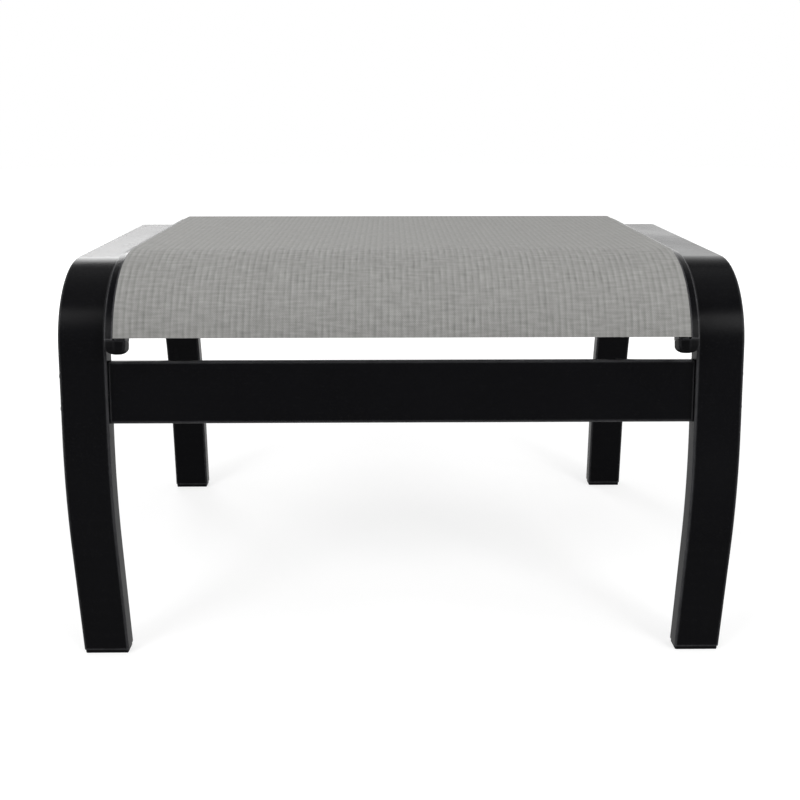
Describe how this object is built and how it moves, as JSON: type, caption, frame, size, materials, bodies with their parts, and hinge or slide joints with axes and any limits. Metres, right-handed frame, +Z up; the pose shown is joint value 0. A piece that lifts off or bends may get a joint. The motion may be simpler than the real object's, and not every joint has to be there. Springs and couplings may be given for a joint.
{
  "type": "outdoor ottoman footstool",
  "caption": "Outdoor ottoman with a stretched sling seat between bent rectangular tube side frames, joined by front and rear cross rails, standing on plastic glides.",
  "frame": {"origin": "on the floor, under the middle of the ottoman", "axes": "+X to the right along the width between the side frames, +Y to the rear, +Z up"},
  "size_m": [0.6666, 0.484, 0.4065],
  "materials": {
    "powder_coat": "satin black powder coat on aluminium tube and extrusion",
    "sling_cloth": "warm light grey woven sling mesh, coated yarns, matt",
    "spline_vinyl": "off-white flexible rod",
    "black_plastic": "satin moulded black plastic",
    "cast_insert": "raw die casting",
    "black_steel": "black coated steel"
  },
  "bodies": {
    "root": {"side_frame_left": "powder_coat", "side_frame_right": "powder_coat", "cross_rail_front": "powder_coat", "cross_rail_rear": "powder_coat", "sling_rail_left": "powder_coat", "sling_rail_right": "powder_coat", "spreader_bar_front": "powder_coat", "spreader_bar_rear": "powder_coat", "sling_fabric": "sling_cloth", "spline_left": "spline_vinyl", "spline_right": "spline_vinyl", "rail_cap_front_left": "black_plastic", "rail_cap_front_right": "black_plastic", "rail_cap_rear_left": "black_plastic", "rail_cap_rear_right": "black_plastic", "foot_glide_front_left": "black_plastic", "foot_glide_front_right": "black_plastic", "foot_glide_rear_left": "black_plastic", "foot_glide_rear_right": "black_plastic", "rail_spacer_front_left": "black_plastic", "rail_spacer_front_right": "black_plastic", "rail_spacer_rear_left": "black_plastic", "rail_spacer_rear_right": "black_plastic", "cross_insert_front_left": "cast_insert", "cross_insert_front_right": "cast_insert", "cross_insert_rear_left": "cast_insert", "cross_insert_rear_right": "cast_insert", "spreader_insert_front_left": "cast_insert", "spreader_insert_front_right": "cast_insert", "spreader_insert_rear_left": "cast_insert", "spreader_insert_rear_right": "cast_insert", "spreader_bolt_front_left": "black_steel", "spreader_bolt_front_right": "black_steel", "spreader_bolt_rear_left": "black_steel", "spreader_bolt_rear_right": "black_steel", "cross_bolt_front_left_lower": "black_steel", "cross_bolt_front_left_upper": "black_steel", "cross_bolt_front_right_lower": "black_steel", "cross_bolt_front_right_upper": "black_steel", "cross_bolt_rear_left_lower": "black_steel", "cross_bolt_rear_left_upper": "black_steel", "cross_bolt_rear_right_lower": "black_steel", "cross_bolt_rear_right_upper": "black_steel"}
  },
  "joints": []
}
